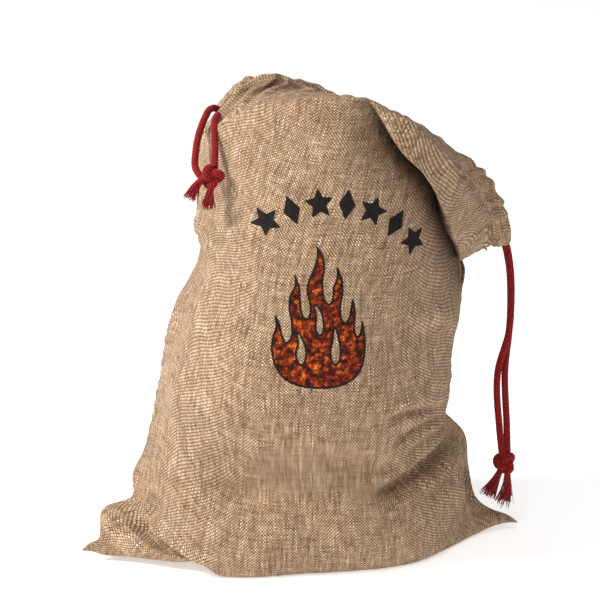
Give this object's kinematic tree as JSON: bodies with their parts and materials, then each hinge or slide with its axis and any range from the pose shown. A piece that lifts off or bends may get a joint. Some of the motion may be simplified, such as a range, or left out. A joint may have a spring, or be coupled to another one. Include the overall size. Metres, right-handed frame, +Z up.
{
  "type": "fabric gift sack",
  "caption": "Open-topped woven hessian sack that stands on its filled base, with a stitched hem casing and two knotted red drawcords that pull its mouth closed.",
  "frame": {"origin": "middle of the base on the floor, at the bottom centre of the sack's own bounding box", "axes": "+X to the sack's right as seen from its front, +Y to the back, +Z up; the front panel faces -Y"},
  "size_m": [0.4956, 0.3102, 0.5323],
  "materials": {
    "hessian": "coarse plain-weave natural hessian, matt",
    "thread": "matching sewing thread",
    "red_cotton": "braided dark red cotton cord, matt"
  },
  "bodies": {
    "sack": {"front_panel": "hessian", "back_panel": "hessian", "front_casing": "hessian", "back_casing": "hessian", "left_side_seam": "hessian", "right_side_seam": "hessian", "bottom_seam": "hessian", "front_hem_stitch": "thread", "back_hem_stitch": "thread", "left_bartack": "thread", "right_bartack": "thread", "left_cord_run": "red_cotton", "right_cord_run": "red_cotton"},
    "left_strands": {"left_strand_front": "red_cotton", "left_strand_back": "red_cotton"},
    "left_tassel": {"left_knot": "red_cotton", "left_tail_front": "red_cotton", "left_tail_back": "red_cotton"},
    "right_strands": {"right_strand_front": "red_cotton", "right_strand_back": "red_cotton"},
    "right_tassel": {"right_knot": "red_cotton", "right_tail_front": "red_cotton", "right_tail_back": "red_cotton"}
  },
  "joints": [
    {"name": "left_cord_swing", "type": "hinge", "parent": "sack", "child": "left_strands", "pos_m": [-0.094, 0, 0.49], "axis": [0, 1, 0], "range_deg": [0, 100]},
    {"name": "left_cord_pull", "type": "slide", "parent": "left_strands", "child": "left_tassel", "axis": [-0.2385, 0.7666, 0.5962], "range_m": [0, 0.035], "deforming": ["left_strand_front", "left_strand_back"]},
    {"name": "right_cord_swing", "type": "hinge", "parent": "sack", "child": "right_strands", "pos_m": [0.229, -0.014, 0.338], "axis": [0, -1, 0], "range_deg": [-3, 100]},
    {"name": "right_cord_pull", "type": "slide", "parent": "right_strands", "child": "right_tassel", "axis": [0.002, 0.0079, 1], "range_m": [0, 0.16], "deforming": ["right_strand_front", "right_strand_back"]}
  ]
}
